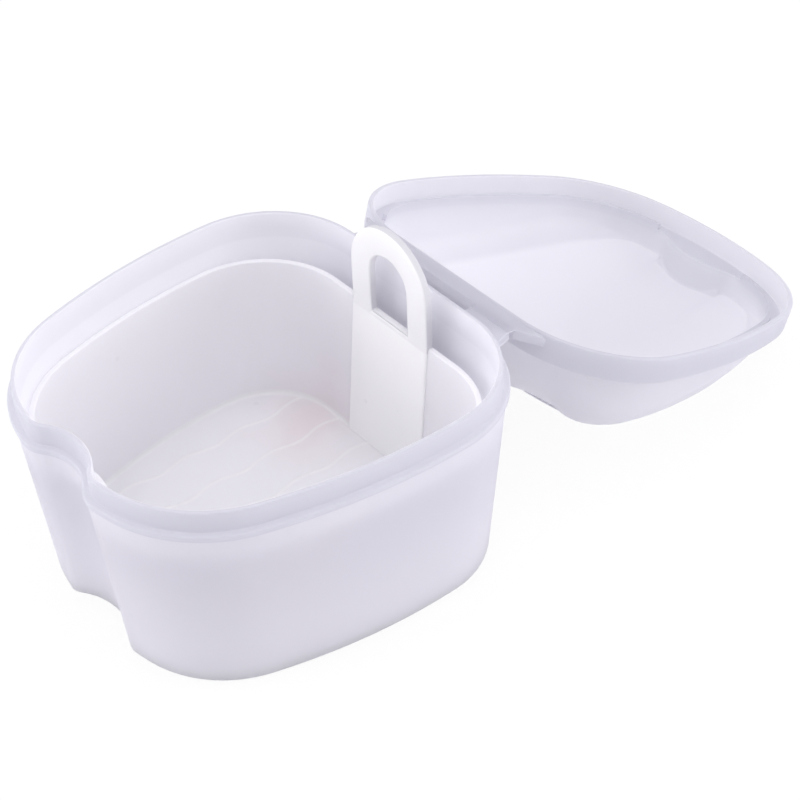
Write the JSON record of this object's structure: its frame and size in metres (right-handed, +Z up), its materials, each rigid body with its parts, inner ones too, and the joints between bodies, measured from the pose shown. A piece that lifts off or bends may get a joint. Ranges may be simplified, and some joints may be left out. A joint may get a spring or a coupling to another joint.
{
  "type": "denture case",
  "caption": "Hinged denture bath: notched tub with a domed lid on a living hinge, holding a lift-out basket with a tall loop handle.",
  "frame": {"origin": "centre of the flat face that the tub stands on", "axes": "+Z up out of the tub's mouth, +Y towards the hinge and the opened lid, -Y towards the finger notch, +X to the right seen from the notch"},
  "size_m": [0.0946, 0.1937, 0.0645],
  "materials": {
    "case_plastic": "satin milky translucent polypropylene",
    "basket_plastic": "satin milky translucent polypropylene"
  },
  "bodies": {
    "tub": {"tub": "case_plastic", "hinge_strap_left": "case_plastic", "hinge_strap_right": "case_plastic"},
    "lid": {"lid": "case_plastic"},
    "basket": {"lift_out_basket": "basket_plastic", "basket_handle": "basket_plastic"}
  },
  "joints": [
    {"name": "lid_hinge", "type": "hinge", "parent": "tub", "child": "lid", "pos_m": [0, 0.05029, 0.04645], "axis": [-1, 0, 0], "range_deg": [-198.4, 0]},
    {"name": "basket_lift", "type": "slide", "parent": "tub", "child": "basket", "axis": [0, 0, 1], "range_m": [0, 0.07]}
  ]
}
